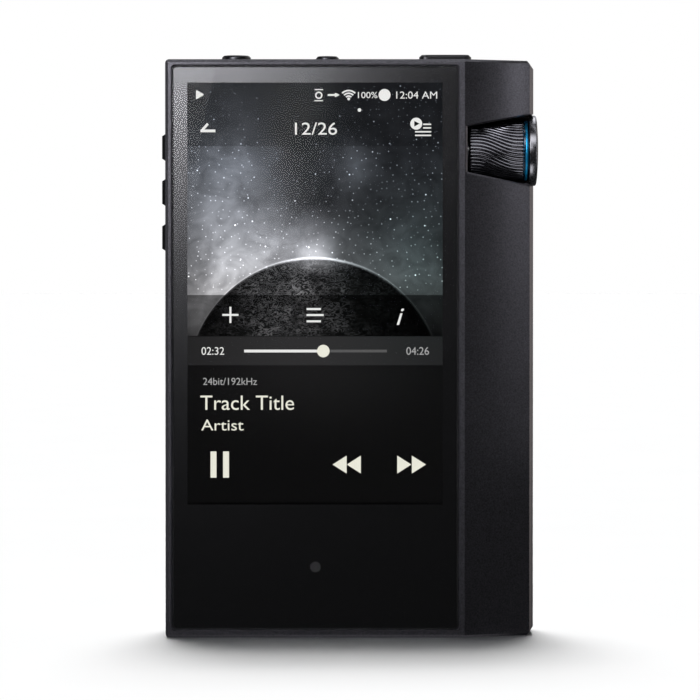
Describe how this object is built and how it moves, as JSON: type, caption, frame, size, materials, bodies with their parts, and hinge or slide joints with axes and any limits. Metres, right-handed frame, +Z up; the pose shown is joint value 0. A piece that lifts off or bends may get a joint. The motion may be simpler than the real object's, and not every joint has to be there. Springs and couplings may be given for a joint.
{
  "type": "digital audio player",
  "caption": "Pocket music player with a metal housing, front touch display, slanted side with a ribbed volume wheel, side keys and headphone sockets.",
  "frame": {"origin": "under the middle of the player's bounding box, on the surface that it stands on", "axes": "+X to the right as the user sees the display, +Y from the display to the back, +Z up; the display faces -Y"},
  "size_m": [0.0636, 0.0152, 0.0979],
  "materials": {
    "housing_metal": "black anodised, fine bead-blasted satin",
    "back_panel": "glossy, with a fine woven pattern under the surface",
    "front_glass": "polished clear glass with a black printed border",
    "display_panel": "smooth display panel, lit from behind",
    "sensor_film": "thin clear film",
    "adhesive": "matte foam tape",
    "backlight_film": "white diffuser",
    "flex_circuit": "amber film circuit",
    "bright_metal": "plain bright metal",
    "circuit_board": "green solder mask",
    "chip_resin": "moulded black resin",
    "capacitor_resin": "moulded yellow resin",
    "dark_plastic": "moulded black plastic",
    "pale_plastic": "moulded natural plastic",
    "battery_wrap": "silver laminate pouch",
    "wire_sleeve": "soft wire sleeve",
    "collar_metal": "black anodised, turned",
    "gold_contacts": "gold plated",
    "button_metal": "black anodised satin",
    "wheel_metal": "black anodised, machined ridges with bright crests",
    "accent_blue": "blue enamel",
    "cap_metal": "black anodised, fine turning lines",
    "screw_metal": "blackened steel"
  },
  "bodies": {
    "housing": {"main_body": "housing_metal", "back_cover": "back_panel", "cover_glass": "front_glass", "glass_adhesive": "adhesive", "touch_sensor": "sensor_film", "home_key_sensor": "sensor_film", "lcd_panel": "display_panel", "backlight_unit": "backlight_film", "display_flex": "flex_circuit", "display_bracket": "bright_metal", "main_board": "circuit_board", "shield_cans": "bright_metal", "processor": "chip_resin", "memory_chips": "chip_resin", "audio_converters": "chip_resin", "headphone_amplifiers": "chip_resin", "power_chip": "chip_resin", "clock_crystals": "bright_metal", "capacitors": "capacitor_resin", "display_connector": "dark_plastic", "wireless_module": "bright_metal", "antenna_film": "flex_circuit", "battery_cell": "battery_wrap", "battery_leads": "wire_sleeve", "battery_connector": "pale_plastic", "battery_adhesive": "adhesive", "headphone_jack": "dark_plastic", "balanced_jack": "dark_plastic", "headphone_collar": "collar_metal", "balanced_collar": "collar_metal", "jack_contacts": "gold_contacts", "power_switch": "dark_plastic", "side_switches": "dark_plastic", "side_key_flex": "flex_circuit", "key_bracket": "bright_metal", "encoder_body": "dark_plastic", "encoder_bush": "bright_metal", "usb_shell": "bright_metal", "usb_tongue": "dark_plastic", "card_socket_cover": "bright_metal", "card_socket_base": "dark_plastic", "case_screws": "screw_metal", "board_screws": "bright_metal"},
    "volume_wheel_body": {"volume_wheel": "wheel_metal", "wheel_hub": "wheel_metal", "wheel_accent_ring": "accent_blue", "wheel_end_cap": "cap_metal", "wheel_shaft": "bright_metal", "encoder_rotor": "pale_plastic"},
    "power_button_body": {"power_button": "button_metal", "power_switch_plunger": "pale_plastic"},
    "previous_button_body": {"previous_button": "button_metal", "previous_plunger": "pale_plastic"},
    "play_button_body": {"play_button": "button_metal", "play_plunger": "pale_plastic"},
    "next_button_body": {"next_button": "button_metal", "next_plunger": "pale_plastic"}
  },
  "joints": [
    {"name": "volume_turn", "type": "hinge", "parent": "housing", "child": "volume_wheel_body", "pos_m": [0, 0, 0.0818], "axis": [1, 0, 0], "continuous": true},
    {"name": "power_press", "type": "slide", "parent": "housing", "child": "power_button_body", "axis": [0, 0, -1], "range_m": [0, 0.0003], "stiffness_N_per_m": 800},
    {"name": "previous_press", "type": "slide", "parent": "housing", "child": "previous_button_body", "axis": [1, 0, 0], "range_m": [0, 0.0003], "stiffness_N_per_m": 800},
    {"name": "play_press", "type": "slide", "parent": "housing", "child": "play_button_body", "axis": [1, 0, 0], "range_m": [0, 0.0003], "stiffness_N_per_m": 800},
    {"name": "next_press", "type": "slide", "parent": "housing", "child": "next_button_body", "axis": [1, 0, 0], "range_m": [0, 0.0003], "stiffness_N_per_m": 800}
  ]
}
